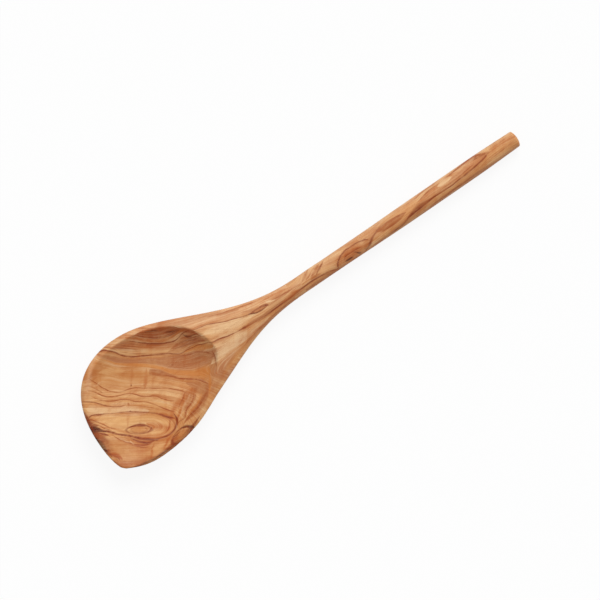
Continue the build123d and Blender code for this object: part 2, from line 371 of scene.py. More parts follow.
# Brush strokes of the figure, among them a few of painted shade, a painted sheen and a painted light: tilt
# from the picture's level, ink, strength, and points along it. Each point has the half width there, apart
# from the two ends, where the stroke runs out. Then may come the softness of its edges and the strength of
# the brown beside it (above it, or below where that is negative).
strokes = {
    # broad patches
    "honeyField": (0, "honey", 0.6, ((84, 370), (93, 375, 8), (104, 378, 11), (118, 378.5, 11), (132, 378, 9),
        (146, 377, 7), (158, 378)), 0.7),
    "honeyLight": (0, "tan", 0.6, ((98, 372), (106, 371, 3), (116, 371, 3.4), (126, 371))),
    "leftEdge": (90, "plum", 0.4, ((82, 406), (81.6, 397, 3), (83.6, 388, 3.4), (88, 379, 1.8), (93, 371))),
    "leftPale": (90, "glow", 0.5, ((87, 392), (88, 384, 2.4), (89.6, 372, 2.6), (92, 362, 2.6), (98, 353.6))),
    "streakyField": (0, "rust", 0.7, ((109, 348.5), (115, 346.5, 2.4), (125, 345, 4), (136, 345.5, 3.6),
        (146, 346, 2.6), (157, 346, 1.4), (166, 345)), 0.6),
    "topField": (0, "rust", 0.5, ((140, 347), (150, 346.4, 4), (162, 346, 5), (172, 345, 4), (178, 344))),
    "duskField": (0, "dusk", 0.95, ((168, 352), (174, 349, 2.8), (180, 344, 6), (186, 341.4, 7.6),
        (192, 339.6, 7), (199, 339, 3.6), (205, 341, 1.4), (208, 343)), 0.8),
    "duskTop": (0, "ember", 1, ((168, 331.6), (175, 330, 1.6), (182, 329.4, 2.4), (190, 330.6, 2.4),
        (196, 333, 1.2), (201, 336)), 0.8),
    "duskStreakC": (0, "ember", 0.6, ((178, 339), (184, 337.6, 1.2), (191, 334.6, 1.1), (198, 333.6))),
    "plumBand": (0, "plum", 0.6, ((97, 354.5), (107, 356.4, 2.4), (116, 358.7, 2.6), (126, 360.6, 2.4),
        (137, 361.6, 2.1), (148, 361.9, 2), (157, 362, 2.6), (165, 361, 5), (176, 361.5, 6.4),
        (188, 361.4, 7), (198, 359.6, 7.4), (207, 358.5, 7), (213, 357, 6), (217, 356)), 0.6),
    "plumHatchC": (90, "brown", 0.45, ((199, 369), (199.6, 362, 1.4), (199, 356, 1.6), (200, 352))),
    "plumHatchB": (90, "brown", 0.4, ((184, 370), (184.6, 365, 1.3), (185, 358, 1.6), (184.6, 354))),
    "plumHatchA": (90, "brown", 0.4, ((172, 369), (173, 364, 1.6), (173.4, 359, 1.3), (173, 355))),
    "wallBrown": (0, "plum", 0.75, ((186, 384), (192, 385.4, 3), (198, 387.6, 6), (204, 388, 6.6),
        (208, 387, 4), (209.6, 386.4)), 0.5),
    "wallShade": (62, "rust", 0.75, ((170, 424), (174, 410, 3), (181, 402, 4), (188, 396, 4), (193, 388))),
    "wallDusk": (62, "brown", 0.6, ((182, 413), (187, 404, 2.8), (191, 397.6, 4), (195, 391, 2.4),
        (197.6, 387))),
    "wallStreakA": (62, "rust", 0.8, ((176.5, 423), (179, 415.4, 1.4), (181.6, 408, 1.8), (183.4, 401, 1.6),
        (185.6, 394.6)), 0.8),
    "wallStreakB": (62, "brown", 0.7, ((179.6, 422.6), (184.4, 417, 1.1), (186.4, 410, 1.5),
        (190.6, 404.4, 1.8), (194.4, 399, 1.4), (196, 393.6)), 0.8),
    "wallStreakC": (62, "brown", 0.9, ((183, 424), (190, 415.6, 1.8), (197, 408, 3.6), (203, 399.4, 3.4),
        (208, 390)), 0.7),
    "wallStreakD": (62, "pale", 0.25, ((177.6, 420), (181.6, 413.6, 0.8), (184, 406.6, 1), (188, 400, 1.1),
        (190.6, 393.6))),
    "wallStreakH": (62, "fine", 0.7, ((178.4, 411), (180, 405, 0.6), (183, 399.6, 0.7), (184.6, 394.6, 0.6),
        (188.6, 390.6))),
    "wallStreakG": (62, "fine", 0.6, ((184, 421.6), (191, 413.6, 0.5), (197.6, 406.6, 0.5), (203.6, 398, 0.4),
        (206.4, 391)), 0.9, 0.3),
    "wallStreakF": (62, "orange", 0.7, ((187, 417), (191, 410.6, 0.8), (196, 405, 0.9), (200, 397.6, 0.8),
        (202, 391))),
    "wallStreakE": (62, "fine", 0.8, ((176.9, 425.6), (180.6, 420.4, 0.6), (184.6, 417.6, 0.6),
        (186.8, 409.6, 0.5), (191.6, 403, 0.6), (193.8, 396.6, 0.6), (194.2, 392))),
    "shoulderPlum": (34.5, "plum", 0.6, ((201, 402), (212, 385, 4.4), (221, 373, 5), (230, 361, 1.6),
        (236, 352)), 0.8),
    "shoulderPale": (34.5, "pale", 0.7, ((211, 364), (220, 354, 5), (229, 345, 6.4), (240, 335, 4.6),
        (250, 327))),
    "rimPale": (34.5, "pale", 0.45, ((203, 352), (211, 347, 3.4), (220, 341.6, 5), (230, 335.6, 4),
        (242, 328))),
    "shoulderLow": (34.5, "honey", 0.6, ((222, 376), (232, 361, 3), (242, 347, 3), (251, 336.6, 2),
        (258, 329))),
    "neckPale": (34.5, "pale", 0.5, ((203, 333), (211, 330.6, 4), (220, 327.6, 5.4), (231, 324.6, 5),
        (241, 321, 3.4), (252, 316)), 0.8),
    "neckGold": (34.5, "orange", 0.6, ((246, 331), (256, 324, 1.8), (266, 317, 2), (277, 308, 1.4),
        (288, 300.4)), 0.8),
    "neckDusk": (34.5, "brown", 0.45, ((240, 312), (254, 308.4, 1.8), (264, 305, 2.4), (272, 301, 3),
        (280, 296, 2.4), (288, 291))),
    "neckLight": (34.5, "pale", 0.4, ((240, 344), (247, 335, 3), (254, 327.6, 3.4), (262, 321.6, 2.4),
        (270, 315))),
    "upperEdge": (34.5, "brown", 0.75, ((140, 323), (160, 318.6, 3.6), (182, 313.6, 3.8), (204, 308, 3),
        (228, 301.6, 1.8), (246, 296)), 0.8),
    "upperShade": (34.5, "plum", 0.65, ((150, 331), (164, 324, 3.4), (180, 321.4, 4), (196, 317, 4),
        (212, 314, 3.6), (228, 312, 2.4), (240, 308))),
    "rimShade": (34.5, "plum", 0.3, ((98, 357), (107, 346.6, 2), (118, 337, 2.6), (132, 328, 2.6),
        (146, 322))),
    "topLens": (0, "ember", 0.95, ((133.5, 334.8), (139.6, 333.4, 2.3), (146, 332.7, 3.7),
        (152.1, 332.6, 4.4), (160, 331.4, 5), (166.4, 330.6, 4.4), (171.8, 329.6, 3.4), (177, 328.4, 1.4),
        (181.5, 328.4)), 0.3),
    "lensOrange": (0, "rust", 0.9, ((124, 336.6), (134, 337.8, 1.4), (145, 339.6, 1.6), (155, 340.3, 1.8),
        (164.4, 339.6, 1.9), (172.7, 336, 1.7), (178, 332, 1.6), (183, 329.4, 1.2), (190, 328)), 0.6),
    "stripAboveLine": (0, "tan", 0.55, ((103, 347.8), (112, 348, 0.9), (120, 351, 1.2), (130.7, 353.3, 1.5),
        (145, 352.8, 1.4), (157.5, 352, 1.3), (168, 351, 1), (175, 349.5)), 0.6),
    "wedge": (0, "orange", 0.9, ((183, 353), (188.6, 350.8, 1.3), (193.2, 348.4, 2.2), (198, 347.6, 2.9),
        (204, 346.6, 2.9), (209, 346, 2.7), (213.4, 345.6)), 0.4),
    # painted light inside the rim, laid over the shade of the steep wall there
    "wedgePaintedLight": (0, "tan", 0.6, ((198, 343.4), (204, 342.6, 2), (209, 342.4, 2.6), (214.6, 342.4))),
    "orangeLine": (0, "orange", 0.85, ((98, 357.4), (108.4, 361, 0.9), (118, 363.9, 1.1), (130.7, 364.6, 1.3),
        (143, 365.4, 1.5), (154, 367, 1.7), (162.9, 369.6, 2), (170.9, 372.6, 2.3), (182, 374.2, 2.6),
        (193, 374.3, 3), (200.4, 373.2, 4), (206, 372, 5.6), (209, 371.6, 5.2), (210.5, 371.4)), 0.7),
    "brownPatch": (0, "brown", 0.75, ((149.2, 373), (150.4, 373, 3), (156, 373.2, 3.5), (161, 373.8, 3.2),
        (166, 375, 2.2), (172, 376.8, 1), (180, 378.4)), 0.35),
    "blotD": (90, "rust", 0.35, ((127.6, 428), (128, 419, 1.6), (128.6, 409, 1.8), (128, 400))),
    "blotC": (90, "rust", 0.35, ((130.6, 388), (131, 381, 1.4), (132, 375, 1.6), (132, 369))),
    "blotB": (90, "rust", 0.35, ((152.6, 389), (153, 383, 1), (153.4, 377, 0.9), (153, 373))),
    "blotA": (90, "rust", 0.65, ((144.6, 390), (145.6, 384, 2), (146, 378.6, 2), (146.6, 368))),
    "lobeLight": (0, "pale", 0.6, ((86, 408), (96, 409, 4.4), (110, 410.6, 4.4), (124, 409.6, 3.6),
        (138, 411.6, 3.6), (150, 411.6))),
    "lobeGlow": (0, "rust", 0.55, ((96, 425.6), (116, 429, 1.4), (132, 434.6, 1.8), (148, 436.6, 2),
        (160, 434.6, 2), (168, 429, 1.6), (171, 424))),
    "lobeAmber": (0, "rust", 0.8, ((146, 423), (152, 426, 3.4), (159, 426.6, 4), (166, 427.6, 3),
        (170, 428)), 1),
    "topBlotch": (0, "rust", 0.9, ((156, 413.2), (161, 414.4, 1.5), (165.6, 415.6, 2), (170, 417.6, 1.4),
        (175.6, 418.6)), 0.6),
    "arcGlow": (0, "rust", 0.75, ((124, 437), (134, 440.8, 1.8), (144, 442.6, 2.4), (152, 441.4, 1.4),
        (155, 440)), 0.8),
    "knotGlow": (-45, "umber", 0.8, ((96, 431), (102, 435.8, 3), (107, 442, 3.4), (111, 449, 3.2),
        (115, 456, 2.2), (119, 461))),
    "tipField": (0, "amber", 0.7, ((92, 438), (102, 447, 7), (116, 452, 13), (134, 454, 15), (150, 452, 12),
        (166, 446, 7), (182, 440)), 0.7),
    "tipAmberA": (0, "ember", 0.9, ((108, 452.6), (112.4, 453.6, 2), (116.6, 454.4, 2.6), (120.4, 456.6, 2),
        (123, 459))),
    "tipAmberB": (90, "rust", 0.7, ((150.4, 457.6), (151.6, 453.6, 1.3), (152, 449.6, 1.1), (153.6, 445, 0.8),
        (154, 441.6)), 0.7),
    "tipAmberC": (62, "rust", 0.75, ((163.4, 448.6), (164.6, 445.6, 0.9), (166.4, 441.6, 1),
        (169.4, 437.6, 0.8), (173, 433.6)), 0.7),
    "tipAmberD": (0, "rust", 0.4, ((128, 449.6), (134, 450.8, 2), (142, 450.4, 2.2), (149, 448.6, 1.6),
        (153, 447))),
    # painted shade along the tip's lower edge
    "tipEdgeShade": (0, "brown", 0.85, ((110, 459.6), (119, 462.6, 3.4), (130, 463.4, 4), (140, 461.8, 3.8),
        (150, 458.2, 3), (160, 454))),
    "tipPaleA": (0, "tan", 0.6, ((152, 448.6), (156, 447, 3.4), (160.6, 445, 3.6), (166, 442.6)), 1),
    "tipPaleB": (62, "tan", 0.6, ((166, 447), (168.6, 443.6, 1.5), (171, 440.6, 1.3), (172.6, 438))),
    "knotShade": (-45, "umber", 1, ((90, 429), (96, 436.6, 4), (101.4, 443, 5.2), (107, 449.6, 3.6),
        (112, 456)), 0.8),
    "cornerGlow": (-45, "umber", 1, ((82, 409), (86, 417, 3.4), (90.4, 425, 5.4), (95, 431, 4), (99, 436))),
    # dark heartwood along the lower right side of the head, partly painted shade on its outer wall
    "sideHeartwoodAndShade": (34.5, "umber", 0.95, ((124, 469), (136, 466.8, 2), (148, 462.2, 2.8), (160, 455.4, 3.2),
        (172, 446.4, 3.3), (183, 436, 3), (192, 425.8, 1.8), (200, 414)), 0.5),
    "sideGold": (34.5, "honey", 0.4, ((138, 466.2), (150, 461.2, 0.6), (160, 455.4, 0.6), (170, 448, 0.5),
        (176, 443)), 0.8),
    # painted shade in the crease along the top of the lower right side wall
    "sideCreaseShade": (34.5, "black", 0.8, ((134, 466.6), (146, 461.6, 0.7), (158, 455, 0.8), (169, 447.4, 0.8),
        (178, 439.8, 0.8), (186, 431.4)), 0.8),
    # lines in the hollow
    "lensStreakA": (0, "black", 0.7, ((143.6, 331.6), (149, 330.4, 0.9), (154, 330, 0.9),
        (158.5, 330.6)), 0.9, 0.3),
    "lensStreakB": (0, "black", 0.7, ((163.5, 331.8), (169, 331.4, 0.9), (174, 330.6, 1),
        (178.6, 328.8)), 0.9, 0.3),
    "lensFoot": (0, "line", 0.7, ((137, 335.6), (146, 336.9, 0.7), (155.7, 337.7, 0.9), (166.4, 336.2, 0.8),
        (175.4, 332, 0.7), (180, 329)), 0.9, 0.55),
    "underOrange": (0, "line", 0.8, ((126, 340), (139.6, 342, 0.8), (150.4, 343.4, 1), (157.5, 343.5, 1.1),
        (166.4, 343, 0.9), (175, 340.6, 0.9), (179, 337, 0.8), (183, 332.8, 0.8), (189, 329)), 0.9, -0.55),
    "streakA": (0, "fine", 0.6, ((117, 342.6), (124, 342.6, 0.5), (134, 343.8, 0.6), (144, 345)), 0.9, 0.4),
    "streakB": (0, "fine", 0.6, ((113, 345.4), (122, 345.2, 0.5), (133, 346.2, 0.5), (143, 347.4)), 0.9, 0.4),
    "streakC": (0, "line", 0.5, ((110, 347.6), (120, 347.6, 0.5), (131, 348.8, 0.4),
        (139, 349.4)), 0.9, 0.55),
    "duskBlot": (0, "black", 0.6, ((181.5, 333), (185, 335.6, 0.9), (189, 336.3, 1), (193, 334.8, 0.6),
        (198, 332.6)), 0.9, 0.3),
    "duskBlotB": (0, "line", 0.5, ((186, 341.4), (190, 340.6, 0.8), (194.5, 339.4, 0.8),
        (199, 337.8)), 0.9, 0.55),
    "duskStreakB": (0, "line", 0.5, ((175, 349.4), (183, 346.6, 0.8), (191, 343.4, 1), (199, 340.6, 0.7),
        (205, 339.6))),
    "duskStreakA": (0, "line", 0.6, ((177, 345), (183, 342, 0.9), (189, 339, 0.7), (197, 336, 0.9),
        (202, 335.4))),
    "strongLine": (0, "line", 0.85, ((96, 352.4), (100.4, 350.9, 0.9), (103, 349.8, 1), (108.4, 350.2, 0.8),
        (114.6, 351.8, 0.7), (121.8, 354.8, 0.9), (129, 356.3, 0.9), (135, 356.5, 0.8), (144, 355.9, 0.9),
        (152, 355.3, 0.7), (161, 354.4, 1), (168, 353.8, 0.6), (173, 354.5, 0.8), (181, 353.8, 0.5),
        (187, 350.6, 0.4), (192, 348.3, 0.5), (198, 345, 0.5), (204, 343.2, 0.5),
        (208.4, 341.9)), 0.8, -0.55),
    "lineTwin": (0, "fine", 0.7, ((101, 347.3), (107, 346.8, 0.6), (112.9, 347.9, 0.5),
        (117, 350.4)), 0.9, 0.4),
    "lineTwinB": (0, "fine", 0.6, ((119, 351), (128, 353, 0.5), (140, 353.6, 0.5), (151, 353)), 0.9, 0.4),
    "plumTop": (0, "fine", 0.6, ((172, 357), (180, 356.4, 0.5), (190, 355, 0.6), (198, 352.2, 0.8),
        (204, 352.4, 0.8), (211, 353.4)), 0.9, 0.4),
    "rimHook": (90, "line", 0.6, ((216.4, 367), (215.6, 361, 0.7), (214.4, 355, 0.7), (212, 350)), 0.9, 0.55),
    "patchFoot": (0, "fine", 0.85, ((164, 376), (171.8, 377.6, 0.6), (180, 379.7, 0.7), (188.8, 380, 0.8),
        (197.7, 380.2, 0.8), (203, 381.4, 0.8), (208, 383.4)), 0.9, 0.4),
    "wallOrange": (90, "orange", 0.7, ((208.6, 396), (209.4, 388, 1), (210, 380, 1.2), (209.6, 374)), 0.8),
    "honeyFoot": (0, "fine", 0.75, ((88, 376.5), (95, 381.8, 0.6), (104, 388.2, 0.7), (112.9, 391.6, 0.6),
        (121.8, 391.4, 0.6), (128, 389.3, 0.6), (132.5, 388.4, 0.7), (143, 388.4, 0.5), (152, 388.8, 0.6),
        (166.4, 389.2, 0.4), (177, 390.5, 0.5), (184.3, 392.3, 0.4), (191, 395)), 0.9, -0.4),
    "leftThread": (0, "fine", 0.6, ((84, 385.4), (90, 385.4, 0.6), (96, 388.6, 0.6), (103, 392.6)), 0.9, 0.4),
    "threadA": (0, "fine", 0.85, ((86, 389), (94, 391, 0.6), (100.4, 394.2, 0.7), (108.4, 396.4, 0.6),
        (118, 396, 0.7), (125.4, 394.1, 0.6), (132.5, 393.8, 0.5), (139.6, 396, 0.7), (147, 396.8, 0.6),
        (155.4, 396.9, 0.5), (162.5, 399.5, 0.6), (169.6, 401.3, 0.5), (176, 401.8)), 0.9, 0.4),
    "threadB": (0, "fine", 0.75, ((91, 395.5), (98, 398.6, 0.6), (105.4, 400.5, 0.5), (115, 401, 0.6),
        (121.4, 399.5, 0.5), (128.6, 400, 0.5), (133, 401.3, 0.6), (146.4, 402.7, 0.6), (153.6, 404.8, 0.7),
        (160.7, 407.5, 0.6), (167.9, 410.2, 0.6), (176, 412.4)), 0.9, 0.4),
    "threadC": (0, "line", 0.75, ((80, 400.8), (88.4, 400.8, 0.7), (95.5, 401.8, 0.6), (101.8, 404, 0.7),
        (109, 406, 0.6), (115, 406.6, 0.5), (122, 406.2, 0.4), (127, 404)), 0.9, -0.55),
    "threadD": (0, "fine", 0.5, ((133, 406.5), (142, 406.8, 0.4), (152, 408.4, 0.5), (160, 410.8)), 0.9, 0.4),
    # the lobe
    "lobeTop": (0, "line", 0.85, ((87.6, 418.6), (89.3, 415.4, 0.8), (92.9, 414.1, 0.7), (100, 413.9, 0.8),
        (107, 413, 0.7), (112.5, 413, 0.3), (122, 412.4, 0.4), (130.4, 412, 0.7), (141, 412.7, 0.7),
        (151.8, 413.1, 0.7), (159, 414.3, 0.9), (164.3, 416, 1.1), (169.6, 417.6, 0.9),
        (175, 418)), 0.9, -0.55),
    "lobeRight": (90, "line", 0.9, ((167, 436), (170.4, 433.6, 1), (173.6, 430.2, 1.1), (175.9, 426.3, 1.2),
        (177.2, 420.9, 1.2), (176.2, 417, 1), (173.6, 413.6)), 0.8, 0.55),
    "lobeFoot": (0, "line", 1, ((89.5, 426.6), (95, 428.2, 1.6), (101.8, 429.2, 1.3), (110.7, 431.4, 1.2),
        (119.6, 433.9, 1), (128.6, 435.4, 1), (135.7, 437, 1), (142.9, 438.6, 1.3), (150.9, 439.4, 1.2),
        (156, 439.2, 1.4), (161, 437.6, 1), (167, 435.6, 0.9), (171, 432.6)), 0.8, -0.5),
    "lobeKnot": (0, "black", 1, ((88.5, 425.6), (92.6, 427.4, 3), (97.4, 428.4, 2.4), (102, 429.6, 1),
        (107, 430.8)), 0.7, 0.3),
    "lobeEdge": (-45, "line", 0.9, ((85.6, 413.5), (87.6, 419, 1.5), (90.6, 425, 1.7),
        (93.6, 430)), 0.8, 0.5),
    "lobeArc": (0, "fine", 0.85, ((89, 417.4), (94, 419.6, 0.7), (99, 421.6, 0.6), (104, 424.2, 0.7),
        (109, 426.8, 0.6), (116, 428)), 0.9, 0.4),
    "lobeArcB": (0, "line", 0.7, ((90, 421), (95, 423.4, 0.8), (100, 425.2, 0.4), (106, 428.2, 0.5),
        (112, 430)), 0.9, 0.55),
    "lobeInner": (90, "fine", 0.6, ((163.6, 434.4), (168, 430, 0.5), (169.8, 424, 0.5),
        (168.8, 418)), 0.9, 0.4),
    "arcA": (0, "line", 0.9, ((129, 437.6), (134.5, 439.4, 0.8), (140.2, 441.6, 1), (148, 442.6, 1),
        (153.6, 440.6, 0.7), (156, 439)), 0.9, 0.5),
    "arcB": (0, "fine", 0.85, ((111, 433.6), (116, 436.6, 0.5), (121.4, 439.6, 0.7), (128.6, 442.3, 0.8),
        (136, 444.3, 0.7), (143, 444.9, 0.7), (149.6, 443.4, 0.7), (153.4, 440.4)), 0.9, -0.4),
    "arcC": (0, "fine", 0.7, ((131, 444.8), (137.5, 446.2, 0.6), (143.8, 446.9, 0.5),
        (148, 446.4)), 0.9, 0.4),
    "tipGlintB": (0, "pale", 0.5, ((118.6, 438), (122, 439.4, 0.5), (127, 441.2, 0.6), (132, 442.2)), 1),
    "tipGlint": (-45, "pale", 0.4, ((129.6, 440), (131, 441.6, 0.7), (133, 443.4, 0.6), (134.6, 445)), 1),
    "eyeTop": (0, "line", 0.9, ((128.6, 428), (131, 426.9, 0.8), (134, 426, 1.1), (138, 425.4, 1.5),
        (142, 425.2, 1.7), (146, 425.8, 1.3), (150, 427.4)), 0.8, -0.4),
    "eyeBase": (0, "line", 0.7, ((128.4, 430.4), (132, 431.9, 0.8), (138, 432.8, 1), (144, 432.3, 0.9),
        (148.6, 430.8))),
    "eyeFoot": (0, "line", 0.85, ((147.4, 431.8), (149.4, 430.6, 0.9), (150.8, 429, 1.2), (151.6, 427.6, 0.8),
        (152.2, 426.6)), 0.8),
    "shortA": (0, "line", 0.7, ((98, 431.6), (102, 432.6, 0.8), (107, 434.4, 0.5), (111, 436)), 0.9, 0.55),
    "shortB": (-45, "black", 1, ((93.6, 434.6), (97.4, 439.4, 1.8), (101, 443.4, 2.4), (105, 448, 1.4),
        (108, 452)), 0.8, 0.3),
    "knotFoot": (62, "umber", 0.9, ((170.6, 444.6), (172, 441, 1.9), (174.4, 437.4, 2.1), (177.6, 433.4, 1),
        (180, 430)), 0.8),
    # painted shade along the corner's lower right edge, beside the knot
    "cornerEdgeShade": (34.5, "umber", 0.95, ((173, 445.6), (179, 442, 2), (185.4, 436.6, 2.2), (190.6, 430.6, 2.2),
        (194, 426)), 0.8),
    "knotCap": (34.5, "black", 0.85, ((180, 428.4), (183.6, 426.2, 1), (187.6, 425.4, 1.9),
        (191.4, 425.6, 2.2), (195, 426.2)), 0.8),
    "shortC": (0, "line", 0.85, ((98.6, 431.4), (102, 432.2, 0.8), (106, 433.2, 0.6), (109, 434.4)), 0.8),
    "tipSwirl": (0, "line", 0.5, ((109, 453), (113, 454.6, 0.7), (117, 456.4, 0.7), (119.6, 459, 0.5),
        (119.8, 461)), 0.9, 0.55),
    # threads over the shoulder and the neck
    "shoulderLine": (34.5, "line", 0.7, ((190, 329.6), (198, 327.4, 0.6), (205, 324.6, 0.6),
        (213, 322.6, 0.7), (224.5, 321.2, 0.6), (232, 318.9, 0.6), (242.4, 316, 0.7), (249, 313.4, 0.8),
        (253, 311)), 0.9, 0.55),
    "shoulderMain": (34.5, "line", 0.85, ((208, 342.2), (213.8, 341, 0.8), (220, 337.9, 0.9),
        (229, 334.6, 0.7), (235.7, 331.3, 0.5), (241, 328.6, 0.6), (244, 326.8, 1.3), (247, 325, 0.8),
        (252, 322.7, 0.3), (257, 319.6)), 0.9, -0.55),
    "neckBand": (34.5, "plum", 0.9, ((244, 326.4), (250, 322.8, 1.2), (258.7, 318.2, 1.9), (268.3, 312, 2),
        (275.9, 305.6, 1.7), (281, 301.6, 1.2), (286, 297)), 0.5),
    "neckLine": (34.5, "line", 0.85, ((262, 316.4), (272, 310, 0.5), (283.6, 301.4, 0.9), (290, 296.6, 0.9),
        (296, 292, 1), (302.7, 286.8, 0.8), (309.4, 281.8, 0.9), (316, 277.8, 0.9), (323.8, 273.6, 1),
        (329.5, 270.8, 0.9), (335, 269, 0.6), (341, 267)), 0.9, -0.55),
    "neckBrown": (34.5, "rust", 0.75, ((279, 304), (284, 300, 1.3), (289.6, 295.8, 2.4), (295, 291.6, 1.9),
        (300, 288.4)), 0.7),
    "neckKnob": (34.5, "brown", 0.8, ((309.5, 280), (313, 277, 1.2), (317, 274.4, 1.5), (320.5, 272.8)), 0.7),
    "neckLens": (34.5, "dusk", 0.95, ((249, 313.6), (253.6, 311.6, 1.4), (258.7, 309, 2), (263, 306.4, 1.7),
        (267.4, 304)), 0.35),
    "neckLensTop": (34.5, "line", 0.8, ((250, 312.4), (255, 309.2, 0.7), (260, 306.6, 0.6),
        (266.6, 303.8, 0.9), (268, 303.6)), 0.9, 0.55),
    "neckLensEnd": (34.5, "line", 0.9, ((262.4, 306.6), (264.6, 304.9, 0.9), (266.4, 304.3, 0.9),
        (268.4, 304)), 0.8),
    "neckLensFoot": (34.5, "black", 0.7, ((247.6, 314.2), (252, 312.9, 0.9), (257, 311.6, 0.6),
        (262.6, 308.6, 0.5), (267, 305)), 0.9, 0.3),
    "neckGlint": (34.5, "pale", 0.8, ((257, 306), (262, 303.4, 0.7), (267.4, 300.9, 0.9), (272, 299.4, 0.8),
        (275, 298.4)), 0.8),
    "neckUpperA": (34.5, "fine", 0.7, ((206, 316.6), (218, 313.8, 0.5), (230, 310, 0.7), (239.6, 306.6, 0.7),
        (249, 303.6, 0.6), (256, 301)), 0.9, -0.4),
    "neckUpperB": (34.5, "rust", 0.7, ((262, 300.4), (269, 296.6, 1.2), (276, 292.8, 1.4), (283.6, 289, 1),
        (290, 286.6)), 0.8),
    "neckUpperC": (34.5, "fine", 0.6, ((270, 299.6), (278, 296, 0.5), (286, 291.6, 0.7), (293, 287.6, 0.5),
        (300, 283.6)), 0.9, 0.4),
    "fanPale": (34.5, "pale", 0.25, ((296, 284.6), (308, 273, 3), (320, 263.6, 4), (334, 255, 3),
        (341, 250.6))),
    "neckLowerA": (34.5, "rust", 0.7, ((250, 334.6), (258.7, 327.6, 0.7), (268.3, 319.4, 0.7),
        (277.8, 311.2, 0.6), (287.4, 303.8, 0.6), (297, 297, 0.4), (306, 290.4))),
    "neckLowerB": (34.5, "fine", 0.6, ((244, 345), (252, 336, 0.6), (261, 327, 0.5), (270, 320.5)), 0.9, 0.4),
    "fanA": (62, "brown", 0.7, ((301, 282), (303, 278, 1.2), (305.4, 273.4, 1.2), (308, 269.6)), 0.8),
    "fanB": (62, "brown", 0.7, ((310.4, 277.4), (313, 272.6, 1.5), (316, 267.6, 1.5), (318.6, 263.6)), 0.8),
    "fanC": (62, "line", 0.75, ((315.4, 274.6), (318, 269.4, 1), (320.6, 264.6, 0.9),
        (323, 260.6)), 0.9, 0.4),
    "fanD": (62, "fine", 0.5, ((304, 281.6), (308, 276, 0.5), (311, 271, 0.5), (314, 267)), 0.9, 0.4),
    # painted shade along the handle's lower side, towards its end
    "handleLowShade": (34.5, "plum", 0.6, ((372, 246), (400, 229, 2.6), (440, 202, 3), (480, 174, 3),
        (518, 147))),
    "handleShade": (34.5, "brown", 0.6, ((306, 290), (320, 280.6, 2), (334, 271.6, 2.4), (350, 263, 2.4),
        (364, 254, 2), (376, 245))),
    # painted sheen along the handle's upper side
    "handleSheen": (34.5, "pale", 0.3, ((330, 254), (360, 233, 3.4), (400, 205, 3.4), (440, 177, 3.6),
        (480, 149, 3.8), (512, 132))),
    # threads and knots of the handle
    "swirlField": (34.5, "rust", 0.75, ((337, 266), (343, 259.6, 5), (350, 254.4, 6.4), (358, 249.6, 5),
        (366, 244.6, 2.4), (370, 241.6)), 0.7),
    "swirlGlow": (34.5, "rust", 0.5, ((362, 243), (370, 238, 3), (378, 231, 3), (386, 225))),
    "swirlTop": (34.5, "line", 0.8, ((337.4, 263.6), (338.2, 258.8, 0.8), (343.2, 251.4, 0.7),
        (348.7, 247.2, 0.6), (355, 243.3, 0.7), (361, 240.6, 0.6), (366.4, 239, 0.6),
        (369.4, 240.8)), 0.9, -0.55),
    "swirlSide": (90, "line", 0.8, ((338.6, 268.4), (337.2, 264.6, 0.9), (338.2, 259.6, 0.8),
        (341, 255)), 0.8, 0.55),
    "swirlRing": (34.5, "line", 0.6, ((343.4, 260), (345.2, 255.8, 0.7), (350, 252.2, 0.7), (356, 248.6, 0.6),
        (362, 246.6)), 0.9, 0.55),
    "swirlHeart": (34.5, "black", 0.8, ((344.4, 261), (347.4, 259.6, 1.1), (350.4, 257.8, 1),
        (353, 256.2)), 0.7, 0.3),
    "swirlBlot": (34.5, "black", 0.75, ((352.6, 252.2), (355.4, 251.6, 1.2), (358.4, 252.6, 1.3),
        (361.4, 251.4)), 0.7, 0.3),
    "swirlTail": (62, "line", 0.9, ((365, 250.6), (368.6, 246, 1.3), (370.6, 241, 1.5), (372.6, 236, 1.1),
        (375.6, 231.6, 0.8), (379, 227.6)), 0.9, 0.4),
    "swirlFoot": (34.5, "fine", 0.6, ((352, 262.4), (360, 255.6, 0.7), (368, 250, 0.6), (378, 243, 0.5),
        (390, 234.6)), 0.9, 0.4),
    "secondField": (34.5, "orange", 0.5, ((370, 242), (384, 232, 4), (400, 217, 5.6), (414, 206, 4),
        (426, 198))),
    "secondLens": (34.5, "brown", 0.85, ((375.4, 232.4), (382, 228, 2.4), (388.6, 223.8, 3.2),
        (397, 218.4, 2.6), (406, 211.6)), 0.5),
    "secondTop": (34.5, "line", 0.6, ((374.6, 231.6), (380, 226, 0.7), (387.9, 220.6, 0.5), (397, 215.8, 0.4),
        (407, 210.4)), 0.9, -0.55),
    "secondFoot": (34.5, "fine", 0.6, ((377, 235), (386, 228.6, 0.6), (395, 223, 0.5),
        (402, 217.6)), 0.9, 0.4),
    "longDark": (34.5, "umber", 0.85, ((406, 219), (412, 213, 1.8), (417.6, 207.6, 2.8), (423, 203, 2.4),
        (430, 198.4, 1.2), (438, 193.4))),
    "longFoot": (34.5, "line", 0.8, ((380, 241.4), (391, 233, 0.5), (401, 225.8, 0.6), (408, 218.4, 0.9),
        (415.6, 210.9, 1), (424.8, 203.4, 0.9), (436, 194.4, 0.6), (444, 189, 0.7), (452.6, 183.8, 0.6),
        (459, 178.6, 0.8), (466, 173, 0.9), (476.6, 164, 0.9), (484, 157, 0.8), (488.4, 151.6)), 0.9, 0.55),
    "longField": (34.5, "rust", 0.45, ((418, 202.4), (432, 191, 3.4), (448, 179.4, 4.4), (464, 168, 4.4),
        (478, 158, 3), (487, 151.8)), 0.8),
    "longEnd": (34.5, "umber", 0.75, ((464, 165), (472, 159.4, 1), (480, 155, 1.6), (486, 152.4, 1.2),
        (490, 150.6)), 0.8),
    "longPale": (34.5, "pale", 0.6, ((452, 172.6), (460, 167, 2.4), (468, 161, 2.6), (475, 156))),
